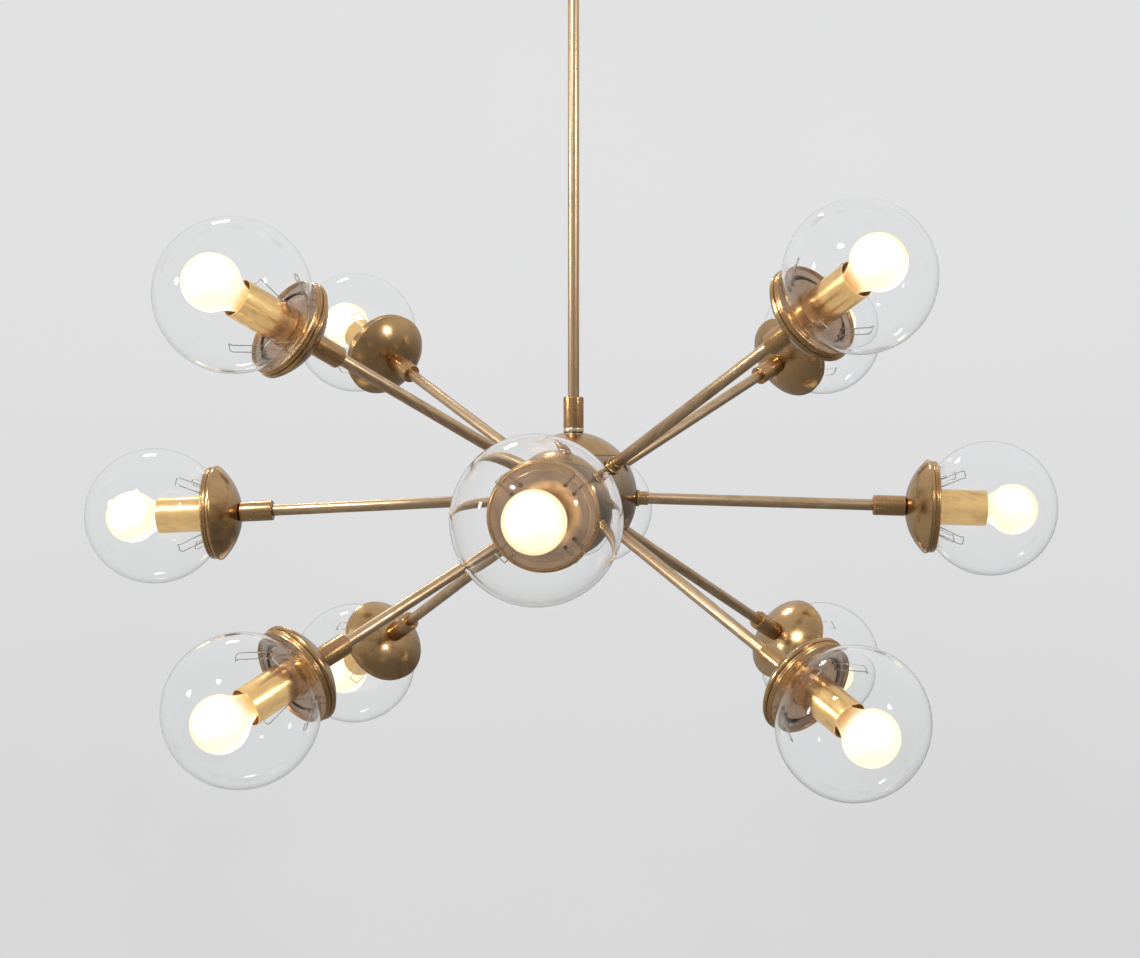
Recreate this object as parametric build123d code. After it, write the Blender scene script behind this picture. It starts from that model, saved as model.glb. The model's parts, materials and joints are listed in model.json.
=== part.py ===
from build123d import *
import math
import os

# Sputnik chandelier. A ball hub hangs on a rigid stem and carries twelve arms in three tiers. Each arm
# ends in a dome, and the dome carries a socket cup with a round bulb inside a clear glass globe.
# Millimetres, +Z up, the front is -Y. The origin is on the ceiling, between the ceiling bracket's slots.
# Whatever belongs to an arm is drawn along local +Z from the hub's centre and then turned to its arm.

# ---------------------------------------------------------------- driving dimensions
# Tiers of arms: elevation above the horizon in degrees
level_elevation = -2.2
upper_elevation = 26.0
lower_elevation = -27.0
# Each arm: tier, heading from +X, and how far it leans off its regular place (heading, elevation)
ARMS = {
    "right": ("level", 0.0, 1.0, 0.5),
    "back": ("level", 90.0, 0.0, 0.0),
    "left": ("level", 180.0, 0.5, -0.5),
    "front": ("level", 270.0, 0.0, -0.2),
    "upper_back_right": ("upper", 45.0, 0.0, 0.0),
    "upper_back_left": ("upper", 135.0, 0.3, 0.4),
    "upper_front_left": ("upper", 225.0, -1.2, -1.5),
    "upper_front_right": ("upper", 315.0, 0.2, 1.0),
    "lower_back_right": ("lower", 45.0, 0.0, 0.0),
    "lower_back_left": ("lower", 135.0, 0.9, -0.2),
    "lower_front_left": ("lower", 225.0, -0.3, 1.0),
    "lower_front_right": ("lower", 315.0, -0.8, -0.7),
}

# Tube and threads
tube_radius = 5.0
tube_bore_radius = 3.8
thread_clearance = 0.05
nipple_bore_radius = 3.5
locknut_across_flats = 14.0
locknut_thickness = 3.0

# Ceiling bracket, a strip bent like a hat
bracket_length = 108.0
bracket_width = 20.0
bracket_thickness = 2.0
bracket_foot = 28.0
bracket_drop = 24.0
bracket_slope = 2.0
bracket_play = 0.15
slot_spacing = 82.0
slot_length = 12.0
slot_width = 4.6

# Canopy
canopy_radius = 60.0
canopy_depth = 46.0
canopy_wall = 1.2
canopy_edge_radius = 12.0
canopy_nut_radius = 11.0
canopy_nut_height = 4.0

# Swivel: a yoke that turns on the nipple and an eye that tilts in it
swivel_gap = 0.4
yoke_radius = 11.5
yoke_thread_depth = 12.0
yoke_cheek_overrun = 8.0
eye_radius = 8.0
eye_half_width = 7.0
eye_neck_radius = 7.0
eye_neck_length = 20.0
eye_cheek_gap = 0.35
swivel_pin_radius = 2.0
swivel_pin_clearance = 0.05
swivel_pin_bite = 2.6
swivel_pin_head_radius = 3.6
swivel_pin_head_height = 1.6
swivel_pin_recess = 0.4
swivel_pin_slot = 0.8
stem_thread_depth = 12.0

# Stem, its coupler and the neck above the hub
stem_length = 404.0
coupler_radius = 9.0
stem_coupler_length = 27.5
neck_height = 3.6

# Wiring
cable_radius = 2.7
wire_radius = 1.1
lead_radius = 1.3
splice_radius = 22.0
splice_half_height = 13.0
terminal_length = 22.0
terminal_width = 12.0
terminal_height = 12.0
terminal_gap = 2.4
lead_bend_radius = 3.2
lead_edge_gap = 2.6

# Hub
hub_radius = 56.5
hub_wall = 3.0
lid_step = 0.4
seam_height = 36.0
spigot_height = 4.0
spigot_wall = 2.2
spigot_clearance = 0.3
tie_rod_window = 16.0
finial_radius = 9.0
finial_height = 4.5
finial_edge = 1.5

# Roots of the arms
washer_radius = 7.2
neck_washer_radius = 8.6
washer_thickness = 1.5
washer_recess_clearance = 0.8
ferrule_flange_radius = 7.4
ferrule_flange_thickness = 2.2
ferrule_radius = 6.1
ferrule_length = 9.8
arm_root_inside = 9.5

# Arms: the reach is from the hub's centre to the dome's apex
arm_reach = 295.5
coupler_length = 28.5
coupler_engagement = 12.0

# Dome
dome_rim_radius = 41.9
dome_depth = 18.5
dome_wall = 1.2
dome_rim_bead = 0.9
dome_lip = 2.8

# Gallery: a beaded ring and a plate that closes the dome's mouth and seats the glass
gallery_bead_radius = 40.9
gallery_height = 5.7
gallery_groove = 0.8
gallery_wall = 1.6
gallery_seat_recess = 2.1
gallery_plate = 1.2
gallery_spigot = 2.0
gallery_front_round = 0.9
gallery_cup_gap = 0.3
spring_hole_radius = 0.8

# Glass globe
globe_radius = 60.0
globe_wall = 1.8
globe_opening_radius = 32.0
globe_seat_gap = 0.3

# Springs that hold the globe
spring_count = 4
spring_wire_radius = 0.45
spring_leg_spacing = 9.0
spring_foot = 6.0
spring_straight = 0.9
spring_rise = 19.5
spring_splay = 13.0
spring_tip = 3.0
spring_bend_radius = 1.0
spring_glass_gap = 0.6
spring_plate_gap = 0.1

# Socket cup, nipple and lampholder
cup_radius = 15.9
cup_wall = 0.8
cup_length = 68.4
cup_seat_gap = 0.1
nipple_overrun = 9.0
holder_radius = 13.6
holder_length = 49.0
holder_mouth_radius = 10.2
holder_mouth_depth = 5.0
holder_floor = 34.0
shell_radius = 7.2
shell_wall = 0.4

# Bulb
bulb_radius = 22.5
bulb_length = 77.0
bulb_wall = 1.0
bulb_neck_radius = 9.5
bulb_shoulder_angle = 58.0
cap_radius = 6.9
cap_thread_depth = 0.5
cap_thread_pitch = 2.8
cap_thread_turns = 5
cap_contact_radius = 2.4
cap_contact_height = 3.5
cap_collar_radius = 8.2
cap_collar_height = 3.0
contact_gap = 0.3

# Small edges
edge_round = 0.6

# ---------------------------------------------------------------- places worked out from the sizes
nipple_top = -bracket_drop + bracket_thickness + locknut_thickness + bracket_play
yoke_top = -(canopy_depth + canopy_nut_height + swivel_gap)
nipple_bottom = yoke_top - yoke_thread_depth + swivel_gap
pivot_z = yoke_top - yoke_thread_depth - swivel_gap - eye_radius
eye_bottom = pivot_z - eye_neck_length
stem_top = eye_bottom + stem_thread_depth
stem_bottom = stem_top - stem_length
lid_radius = hub_radius + lid_step
neck_top = lid_radius + neck_height
stem_end_above_hub = neck_top + stem_coupler_length - coupler_engagement
hub_z = stem_bottom - stem_end_above_hub
HUB = Location((0, 0, hub_z))

tube_hole_radius = tube_radius + thread_clearance
washer_top = hub_radius
washer_floor = hub_radius - washer_thickness
arm_tube_start = hub_radius - arm_root_inside
coupler_start = arm_reach - coupler_length
arm_tube_end = coupler_start + coupler_engagement
nipple_start = arm_reach - coupler_engagement

dome_sphere_radius = (dome_rim_radius**2 + dome_depth**2) / (2 * dome_depth)
dome_centre = arm_reach + dome_sphere_radius
rim_plane = arm_reach + dome_depth
dome_inner_sphere_radius = dome_sphere_radius - dome_wall
gallery_base = rim_plane + dome_lip
gallery_front = gallery_base + gallery_height
seat_plane = gallery_front - gallery_seat_recess
globe_edge_plane = seat_plane + globe_seat_gap
globe_centre = globe_edge_plane + math.sqrt(globe_radius**2 - globe_opening_radius**2)
globe_bore_radius = math.sqrt((globe_radius - globe_wall) ** 2 - (globe_centre - globe_edge_plane) ** 2)
spring_leg_radius = globe_bore_radius - spring_glass_gap - spring_wire_radius

cup_base = dome_centre - math.sqrt(dome_inner_sphere_radius**2 - cup_radius**2) + cup_seat_gap
cup_floor = cup_base + cup_wall
cup_mouth = cup_base + cup_length
holder_base = cup_floor + locknut_thickness + cup_seat_gap
nipple_end = holder_base + nipple_overrun
holder_thread_floor = nipple_end + thread_clearance
contact_plane = holder_base + holder_floor
bulb_base = contact_plane + contact_gap
cap_sleeve_top = bulb_base + cap_contact_height + cap_thread_turns * cap_thread_pitch
bulb_centre = bulb_base + bulb_length - bulb_radius
bulb_tip = bulb_centre + bulb_radius
globe_travel = bulb_tip - globe_edge_plane + globe_wall


# ---------------------------------------------------------------- helpers
def lathe(*points):
    """Solid turned about local Z from a closed outline of (radius, height) points."""
    outline = Polyline(*[(radius, 0, height) for radius, height in points], close=True)
    return revolve(make_face(outline), Axis.Z)


def lathe_edges(*edges):
    """Solid turned about local Z from a closed run of edges drawn in the XZ plane."""
    return revolve(make_face(list(edges)), Axis.Z)


def at(radius, height):
    """Point of an outline in the XZ plane."""
    return (radius, 0, height)


def ring(outer, inner, low, high, bevel=0.0):
    """Turned ring, or a solid bar where the inner radius is 0, whose outer edges can be bevelled."""
    if bevel == 0:
        return lathe((inner, low), (outer, low), (outer, high), (inner, high))
    return lathe(
        (inner, low),
        (outer - bevel, low),
        (outer, low + bevel),
        (outer, high - bevel),
        (outer - bevel, high),
        (inner, high),
    )


def rod(radius, low, high, x=0.0, y=0.0):
    """Round bar along local Z."""
    return Pos(x, y, low) * Cylinder(radius, high - low, align=(Align.CENTER, Align.CENTER, Align.MIN))


def locknut(low):
    """Hexagon nut on a tube's thread, with turned-down corners on both faces."""
    corner_radius = locknut_across_flats / math.sqrt(3)
    blank = extrude(RegularPolygon(corner_radius, 6), locknut_thickness)
    corner_cut = corner_radius - locknut_across_flats / 2
    turned = ring(corner_radius, tube_hole_radius, 0, locknut_thickness, bevel=corner_cut)
    return Pos(0, 0, low) * (blank & turned)


def arm_location(name):
    """Frame of an arm: local Z runs outwards along it, local X lies level."""
    tier, heading, lean_heading, lean_elevation = ARMS[name]
    elevation = {"level": level_elevation, "upper": upper_elevation, "lower": lower_elevation}[tier]
    turn = math.radians(heading + lean_heading)
    rise = math.radians(elevation + lean_elevation)
    outwards = (math.cos(rise) * math.cos(turn), math.cos(rise) * math.sin(turn), math.sin(rise))
    level_side = (-math.sin(turn), math.cos(turn), 0)
    return Plane(origin=(0, 0, hub_z), x_dir=level_side, z_dir=outwards).location


def on_arms(solid, tier=None):
    """One copy of a solid at each arm, or at each arm of one tier."""
    return [arm_location(name) * solid for name in ARMS if tier is None or ARMS[name][0] == tier]


def write(name, *solids):
    """Store a node's solids in its own file."""
    shapes = [solid for shape in solids for solid in shape.solids()]
    node = shapes[0] if len(shapes) == 1 else Compound(children=shapes)
    node.label = name
    export_step(node, f"parts/{name}.step")


# ---------------------------------------------------------------- ceiling
def ceiling_bracket():
    """Steel strip bent like a hat: two slotted feet and a dropped middle with a tapped hole."""
    half = bracket_length / 2
    inner = half - bracket_foot
    outer = inner + bracket_thickness
    outline = Polyline(
        (-half, 0),
        (-inner, 0),
        (-inner + bracket_slope, -bracket_drop + bracket_thickness),
        (inner - bracket_slope, -bracket_drop + bracket_thickness),
        (inner, 0),
        (half, 0),
        (half, -bracket_thickness),
        (outer, -bracket_thickness),
        (outer - bracket_slope, -bracket_drop),
        (-outer + bracket_slope, -bracket_drop),
        (-outer, -bracket_thickness),
        (-half, -bracket_thickness),
        close=True,
    )
    strip = extrude(make_face(Plane.XZ * outline), bracket_width / 2, both=True)
    slots = [
        Pos(x, 0, 0) * extrude(SlotOverall(slot_length, slot_width), -bracket_thickness)
        for x in (-slot_spacing / 2, slot_spacing / 2)
    ]
    return strip - slots - rod(tube_hole_radius, -bracket_drop, -bracket_drop + bracket_thickness)


def canopy():
    """Spun cup that hides the bracket, with a rounded lower edge and a hole for the nipple."""
    inner_radius = canopy_radius - canopy_wall
    inner_depth = canopy_depth - canopy_wall
    inner_edge = canopy_edge_radius - canopy_wall
    bend = math.sqrt(0.5)
    return lathe_edges(
        Line(at(tube_hole_radius, -canopy_depth), at(canopy_radius - canopy_edge_radius, -canopy_depth)),
        ThreePointArc(
            at(canopy_radius - canopy_edge_radius, -canopy_depth),
            at(
                canopy_radius - canopy_edge_radius * (1 - bend),
                -canopy_depth + canopy_edge_radius * (1 - bend),
            ),
            at(canopy_radius, -canopy_depth + canopy_edge_radius),
        ),
        Line(at(canopy_radius, -canopy_depth + canopy_edge_radius), at(canopy_radius, 0)),
        Line(at(canopy_radius, 0), at(inner_radius, 0)),
        Line(at(inner_radius, 0), at(inner_radius, -inner_depth + inner_edge)),
        ThreePointArc(
            at(inner_radius, -inner_depth + inner_edge),
            at(inner_radius - inner_edge * (1 - bend), -inner_depth + inner_edge * (1 - bend)),
            at(inner_radius - inner_edge, -inner_depth),
        ),
        Line(at(inner_radius - inner_edge, -inner_depth), at(tube_hole_radius, -inner_depth)),
        Line(at(tube_hole_radius, -inner_depth), at(tube_hole_radius, -canopy_depth)),
    )


def terminal_block():
    """Three-way block under the dropped middle of the bracket, with a hole for each wire and each screw."""
    top = -bracket_drop
    centre_x = locknut_across_flats / 2 + terminal_gap + terminal_width / 2
    block = Pos(centre_x, 0, top) * Box(
        terminal_width, terminal_length, terminal_height, align=(Align.CENTER, Align.CENTER, Align.MAX)
    )
    pitch = terminal_length / 3
    for place in (-pitch, 0, pitch):
        wire_way = Pos(centre_x, place, top - terminal_height / 2) * Rot(0, 90, 0)
        block -= wire_way * Cylinder(lead_radius + thread_clearance, terminal_width)
        block -= rod(lead_radius, top - terminal_height, top - terminal_height / 2, centre_x, place)
    return block


def ceiling_leads():
    """Two leads that rise from the nipple, turn over the bracket's edge and drop beside it."""
    leads = []
    for side in (-1, 1):
        inside = side * (lead_radius + thread_clearance)
        over = side * (bracket_width / 2 + lead_edge_gap + lead_radius)
        height = (nipple_top + bracket_thickness) / 2
        route = FilletPolyline(
            (0, inside, nipple_bottom),
            (0, inside, height),
            (lead_radius, over, height),
            (lead_radius, over, -bracket_drop - terminal_height),
            radius=lead_bend_radius,
        )
        leads.append(sweep(Plane(route @ 0, z_dir=route % 0) * Circle(lead_radius), path=route))
    return leads


# ---------------------------------------------------------------- swivel
def swivel_yoke():
    """Turned fork: a tapped head that turns on the nipple, and two cheeks that hold the eye."""
    cheek_bottom = pivot_z - yoke_cheek_overrun
    body = ring(yoke_radius, 0, cheek_bottom, yoke_top, bevel=edge_round)
    gap_width = 2 * (eye_half_width + eye_cheek_gap)
    gap_top = yoke_top - yoke_thread_depth
    gap_height = gap_top - cheek_bottom
    body -= Pos(0, 0, cheek_bottom + gap_height / 2) * Box(2 * yoke_radius, gap_width, gap_height)
    body -= rod(tube_hole_radius, gap_top, yoke_top)
    body -= Pos(0, 0, pivot_z) * Rot(90, 0, 0) * Cylinder(
        swivel_pin_radius + thread_clearance, 2 * yoke_radius
    )
    flat = yoke_radius - swivel_pin_head_height
    for side in (-1, 1):
        body -= Pos(0, side * (flat + yoke_radius / 2), pivot_z) * Rot(90, 0, 0) * Cylinder(
            swivel_pin_head_radius + thread_clearance, yoke_radius
        )
    return body


def swivel_pins():
    """Two headed screws through the cheeks; their plain ends are the pivots of the eye."""
    flat = yoke_radius - swivel_pin_head_height
    head_top = yoke_radius - swivel_pin_recess
    pin = rod(swivel_pin_radius, eye_half_width - swivel_pin_bite, flat)
    pin += rod(swivel_pin_head_radius, flat, head_top)
    pin -= Pos(0, 0, head_top) * Box(2 * swivel_pin_head_radius, swivel_pin_slot, swivel_pin_head_height)
    return [Pos(0, 0, pivot_z) * Rot(side * 90, 0, 0) * pin for side in (-1, 1)]


def swivel_eye():
    """Round eye that tilts on the pins, with a neck tapped for the stem and a bore for the cable."""
    eye = Pos(0, 0, pivot_z) * Rot(90, 0, 0) * Cylinder(eye_radius, 2 * eye_half_width)
    eye += ring(eye_neck_radius, 0, eye_bottom, pivot_z, bevel=edge_round)
    eye -= rod(nipple_bore_radius, stem_top, pivot_z + eye_radius)
    eye -= rod(tube_hole_radius, eye_bottom, stem_top)
    pin_hole = swivel_pin_radius + swivel_pin_clearance
    eye -= Pos(0, 0, pivot_z) * Rot(90, 0, 0) * Cylinder(pin_hole, 2 * eye_half_width)
    return eye


# ---------------------------------------------------------------- hub, drawn about its own centre
def hub_shell(radius, low, high):
    """Slice of a thick-walled ball between two heights."""
    ball = Sphere(radius) - Sphere(radius - hub_wall)
    slab = Pos(0, 0, low) * Box(
        2 * radius, 2 * radius, high - low, align=(Align.CENTER, Align.CENTER, Align.MIN)
    )
    return ball & slab


def seat_recess(radius, floor, depth):
    """Recess for a seat washer with the hole of the tube that passes through it."""
    return rod(radius + washer_recess_clearance, floor, floor + depth) + rod(
        tube_hole_radius, floor - 2 * hub_wall, floor
    )


def hub_body():
    """Ball below the seam, with a recessed hole for each arm and a hole for the tie rod at the bottom."""
    body = HUB * hub_shell(hub_radius, -hub_radius, seam_height)
    recess = seat_recess(washer_radius, washer_floor, hub_wall)
    for cut in on_arms(recess):
        body -= cut
    return body - HUB * rod(tube_hole_radius, -hub_radius, -hub_radius + 2 * hub_wall)


def hub_lid():
    """Upper dome of the ball, a little prouder than the body, with a spigot that centres it in the body."""
    lid = hub_shell(lid_radius, seam_height, lid_radius)
    spigot_radius = math.sqrt((hub_radius - hub_wall) ** 2 - seam_height**2) - spigot_clearance
    spigot = ring(
        spigot_radius, spigot_radius - spigot_wall, seam_height - spigot_height, seam_height + spigot_height
    )
    lid += spigot & Sphere(lid_radius - hub_wall / 2)
    lid -= seat_recess(neck_washer_radius, lid_radius - washer_thickness, hub_wall)
    return HUB * lid


def tie_rod():
    """Long threaded tube that hangs the ball on the stem, with a window where the cable leaves it."""
    tube = ring(
        tube_radius,
        nipple_bore_radius,
        -hub_radius - finial_height + finial_edge + thread_clearance,
        neck_top + stem_coupler_length - 2 * coupler_engagement,
    )
    window = Pos(0, tube_radius, 0) * Box(nipple_bore_radius, 2 * tube_radius, tie_rod_window)
    return HUB * (tube - window)


def finial_nut():
    """Low domed nut under the ball."""
    top = -hub_radius
    bottom = top - finial_height
    crown = finial_height - finial_edge
    crown_radius = (finial_radius**2 + crown**2) / (2 * crown)
    middle = finial_radius / 2
    crown_middle = bottom + crown_radius - math.sqrt(crown_radius**2 - middle**2)
    nut = lathe_edges(
        Line(at(0, top), at(finial_radius, top)),
        Line(at(finial_radius, top), at(finial_radius, top - finial_edge)),
        ThreePointArc(at(finial_radius, top - finial_edge), at(middle, crown_middle), at(0, bottom)),
        Line(at(0, bottom), at(0, top)),
    )
    nut -= rod(tube_hole_radius, bottom + finial_edge, top)
    return HUB * nut


def taped_splices():
    """Bundle of joined wire tails, taped into a ring round the tie rod."""
    top = at(tube_hole_radius, splice_half_height)
    bottom = at(tube_hole_radius, -splice_half_height)
    return HUB * lathe_edges(Line(bottom, top), ThreePointArc(top, at(splice_radius, 0), bottom))


# ---------------------------------------------------------------- pieces of an arm, along local Z
def arm_ferrule():
    """Flanged sleeve that clamps the washer and covers the arm's root."""
    flange_top = washer_top + ferrule_flange_thickness
    return lathe(
        (tube_hole_radius, washer_top),
        (ferrule_flange_radius, washer_top),
        (ferrule_flange_radius, flange_top - edge_round),
        (ferrule_flange_radius - edge_round, flange_top),
        (ferrule_radius, flange_top),
        (ferrule_radius, washer_top + ferrule_length - edge_round),
        (ferrule_radius - edge_round, washer_top + ferrule_length),
        (tube_hole_radius, washer_top + ferrule_length),
    )


def arm_wires():
    """Two lamp wires side by side, from the splices to the floor of the lampholder's tapped hole."""
    start = splice_radius + 2 * wire_radius
    apart = wire_radius + thread_clearance
    return [rod(wire_radius, start, holder_thread_floor, x=side * apart) for side in (-1, 1)]


def dome():
    """Spun shallow shell with a rolled rim and a short inward lip."""
    inner_hole = tube_hole_radius

    def height(sphere_radius, radius):
        return dome_centre - math.sqrt(sphere_radius**2 - radius**2)

    inner_rim = dome_rim_radius - dome_wall
    lip_radius = dome_rim_radius - dome_rim_bead
    middle = dome_rim_radius / 2
    bead_middle = rim_plane + dome_lip / 2
    inner_rim_height = height(dome_inner_sphere_radius, inner_rim - dome_rim_bead)
    return lathe_edges(
        ThreePointArc(
            at(inner_hole, height(dome_sphere_radius, inner_hole)),
            at(middle, height(dome_sphere_radius, middle)),
            at(dome_rim_radius, rim_plane),
        ),
        ThreePointArc(
            at(dome_rim_radius, rim_plane),
            at(dome_rim_radius + dome_rim_bead / 6, bead_middle - dome_lip / 6),
            at(lip_radius, gallery_base),
        ),
        Line(at(lip_radius, gallery_base), at(inner_rim - dome_rim_bead, gallery_base)),
        Line(at(inner_rim - dome_rim_bead, gallery_base), at(inner_rim - dome_rim_bead, inner_rim_height)),
        ThreePointArc(
            at(inner_rim - dome_rim_bead, inner_rim_height),
            at(middle, height(dome_inner_sphere_radius, middle)),
            at(inner_hole, height(dome_inner_sphere_radius, inner_hole)),
        ),
        Line(
            at(inner_hole, height(dome_inner_sphere_radius, inner_hole)),
            at(inner_hole, height(dome_sphere_radius, inner_hole)),
        ),
    )


def gallery():
    """Ring and plate in the dome's mouth, with a seat for the glass and holes for cup and springs."""
    spigot_outer = dome_rim_radius - dome_wall - dome_rim_bead - thread_clearance
    spigot_inner = spigot_outer - gallery_wall
    face_outer = gallery_bead_radius - gallery_wall + gallery_front_round
    recess_radius = face_outer - gallery_front_round
    groove_radius = gallery_bead_radius - gallery_groove
    plate_back = seat_plane - gallery_plate
    cup_hole = cup_radius + gallery_cup_gap
    plate = lathe(
        (spigot_inner, gallery_base - gallery_spigot),
        (spigot_outer, gallery_base - gallery_spigot),
        (spigot_outer, gallery_base),
        (groove_radius, gallery_base),
        (groove_radius, gallery_base + gallery_groove),
        (gallery_bead_radius, gallery_base + 2 * gallery_groove),
        (gallery_bead_radius, gallery_front - 3 * gallery_front_round),
        (face_outer, gallery_front - gallery_front_round / 3),
        (face_outer - gallery_front_round / 3, gallery_front),
        (recess_radius, gallery_front),
        (recess_radius - gallery_front_round / 2, seat_plane),
        (cup_hole, seat_plane),
        (cup_hole, plate_back),
        (spigot_inner, plate_back),
    )
    for place in spring_places():
        for side in (-spring_leg_spacing / 2, spring_leg_spacing / 2):
            plate -= place * rod(spring_hole_radius, plate_back, seat_plane, spring_leg_radius, side)
    return plate


def spring_places():
    """Turns that spread the springs evenly round the head."""
    return [Rot(0, 0, (index + 0.5) * 360 / spring_count) for index in range(spring_count)]


def globe_springs():
    """Hairpin wires: feet behind the gallery's plate, closed ends splayed inside the glass."""
    foot_height = seat_plane - gallery_plate - spring_plate_gap - spring_wire_radius
    splay_height = globe_edge_plane + spring_straight
    tip_height = splay_height + spring_rise
    side = spring_leg_spacing / 2
    leg = [
        (spring_leg_radius + spring_foot, foot_height),
        (spring_leg_radius, foot_height),
        (spring_leg_radius, splay_height),
        (spring_leg_radius + spring_splay, tip_height),
        (spring_leg_radius + spring_splay, tip_height + spring_tip),
    ]
    down = [(radius, -side, height) for radius, height in leg]
    back = [(radius, side, height) for radius, height in reversed(leg)]
    route = FilletPolyline(*down, *back, radius=spring_bend_radius)
    wire = sweep(Plane(route @ 0, z_dir=route % 0) * Circle(spring_wire_radius), path=route)
    return [place * wire for place in spring_places()]


def socket_cup():
    """Thin tube with a floor, clamped inside the dome's apex."""
    inner = cup_radius - cup_wall
    return lathe(
        (tube_hole_radius, cup_base),
        (cup_radius - edge_round, cup_base),
        (cup_radius, cup_base + edge_round),
        (cup_radius, cup_mouth),
        (inner, cup_mouth),
        (inner, cup_floor),
        (tube_hole_radius, cup_floor),
    )


def lampholder():
    """Insulating body screwed on the nipple, with a well for the screw shell and a wider mouth."""
    shell_outer = shell_radius + shell_wall
    holder_top = holder_base + holder_length
    shoulder = edge_round * 2
    return lathe(
        (tube_hole_radius, holder_base),
        (holder_radius - shoulder, holder_base),
        (holder_radius, holder_base + shoulder),
        (holder_radius, holder_top - edge_round),
        (holder_radius - edge_round, holder_top),
        (holder_mouth_radius, holder_top),
        (holder_mouth_radius, holder_top - holder_mouth_depth),
        (shell_outer + thread_clearance, holder_top - holder_mouth_depth),
        (shell_outer + thread_clearance, contact_plane),
        (0, contact_plane),
        (0, holder_thread_floor),
        (tube_hole_radius, holder_thread_floor),
    )


def screw_shell():
    """Thin sleeve in the lampholder that takes the bulb's cap."""
    top = holder_base + holder_length - holder_mouth_depth
    return ring(shell_radius + shell_wall, shell_radius, contact_plane, top)


def globe():
    """Clear glass ball with a round opening, cut flat and lightly bevelled."""
    glass = Pos(0, 0, globe_centre) * (Sphere(globe_radius) - Sphere(globe_radius - globe_wall))
    keep = rod(globe_radius, globe_edge_plane, globe_centre + globe_radius)
    return glass & keep


def bulb_envelope():
    """Thin frosted glass: a ball that narrows to a neck in one smooth sweep."""
    neck_base = cap_sleeve_top + cap_collar_height
    slope = math.radians(bulb_shoulder_angle)
    shoulder_slope = (math.cos(slope), 0, math.sin(slope))

    def wall(ball_radius, neck_radius):
        shoulder = at(ball_radius * math.sin(slope), bulb_centre - ball_radius * math.cos(slope))
        neck = Spline(at(neck_radius, neck_base), shoulder, tangents=[(0, 0, 1), shoulder_slope])
        top = at(0, bulb_centre + ball_radius)
        ball = ThreePointArc(shoulder, at(ball_radius, bulb_centre), top)
        return neck, ball, top

    outer_neck, outer_ball, outer_top = wall(bulb_radius, bulb_neck_radius)
    inner_neck, inner_ball, inner_top = wall(bulb_radius - bulb_wall, bulb_neck_radius - bulb_wall)
    return lathe_edges(
        outer_neck,
        outer_ball,
        Line(outer_top, inner_top),
        inner_ball,
        inner_neck,
        Line(at(bulb_neck_radius - bulb_wall, neck_base), at(bulb_neck_radius, neck_base)),
    )


def bulb_cap():
    """Screw cap: contact, threaded sleeve drawn as rounded ridges, and a collar that holds the glass."""
    sleeve_base = cap_sleeve_top - cap_thread_turns * cap_thread_pitch
    root_radius = cap_radius - cap_thread_depth
    outline = [(0, bulb_base), (cap_contact_radius, bulb_base), (root_radius, sleeve_base)]
    for turn in range(cap_thread_turns):
        low = sleeve_base + turn * cap_thread_pitch
        outline.append((cap_radius, low + cap_thread_pitch / 3))
        outline.append((cap_radius, low + cap_thread_pitch * 2 / 3))
        outline.append((root_radius, low + cap_thread_pitch))
    outline += [
        (cap_collar_radius, cap_sleeve_top + cap_collar_height / 2),
        (cap_collar_radius, cap_sleeve_top + cap_collar_height),
        (0, cap_sleeve_top + cap_collar_height),
    ]
    return lathe(*outline)


# ---------------------------------------------------------------- nodes
os.makedirs("parts", exist_ok=True)

write("ceiling_bracket", ceiling_bracket())
write("mounting_nipple", ring(tube_radius, nipple_bore_radius, nipple_bottom, nipple_top))
write(
    "bracket_locknuts",
    locknut(-bracket_drop + bracket_thickness),
    locknut(-bracket_drop - locknut_thickness),
    locknut(-canopy_depth + canopy_wall),
)
write("canopy", canopy())
ring_nut_base = -canopy_depth - canopy_nut_height
write(
    "canopy_ring_nut",
    ring(canopy_nut_radius, tube_hole_radius, ring_nut_base, -canopy_depth, bevel=edge_round),
)
write("terminal_block", terminal_block())
write("ceiling_leads", *ceiling_leads())

write("swivel_yoke", swivel_yoke())
write("swivel_pins", *swivel_pins())

write("swivel_eye", swivel_eye())
write("stem", ring(tube_radius, tube_bore_radius, stem_bottom, stem_top))
write("stem_cable", rod(cable_radius, hub_z, pivot_z))
stem_coupler_top = neck_top + stem_coupler_length
write(
    "stem_coupler",
    HUB * ring(coupler_radius, tube_hole_radius, neck_top, stem_coupler_top, bevel=edge_round),
)
write("hub_neck", HUB * ring(coupler_radius, tube_hole_radius, lid_radius, neck_top, bevel=edge_round / 2))
write("hub_lid", hub_lid())
write("hub_body", hub_body())
write("tie_rod", tie_rod())
write("finial_nut", finial_nut())
write("taped_splices", taped_splices())

arm_washer = ring(washer_radius, tube_hole_radius, washer_floor, washer_top)
neck_washer = ring(neck_washer_radius, tube_hole_radius, lid_radius - washer_thickness, lid_radius)
write("hub_washers", *on_arms(arm_washer), HUB * neck_washer)
write("arm_ferrules", *on_arms(arm_ferrule()))
hub_nut_top = math.sqrt((hub_radius - hub_wall) ** 2 - (locknut_across_flats / math.sqrt(3)) ** 2)
write(
    "arm_locknuts",
    *on_arms(locknut(hub_nut_top - locknut_thickness - 2 * thread_clearance)),
    *on_arms(locknut(cup_floor)),
)
for tier in ("level", "upper", "lower"):
    tube = ring(tube_radius, tube_bore_radius, arm_tube_start, arm_tube_end)
    write(f"arm_tubes_{tier}", *on_arms(tube, tier))
    write(f"domes_{tier}", *on_arms(dome(), tier))
write(
    "arm_couplers",
    *on_arms(ring(coupler_radius, tube_hole_radius, coupler_start, arm_reach, bevel=edge_round)),
)
write("arm_wires", *[wire for lamp_wire in arm_wires() for wire in on_arms(lamp_wire)])
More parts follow.
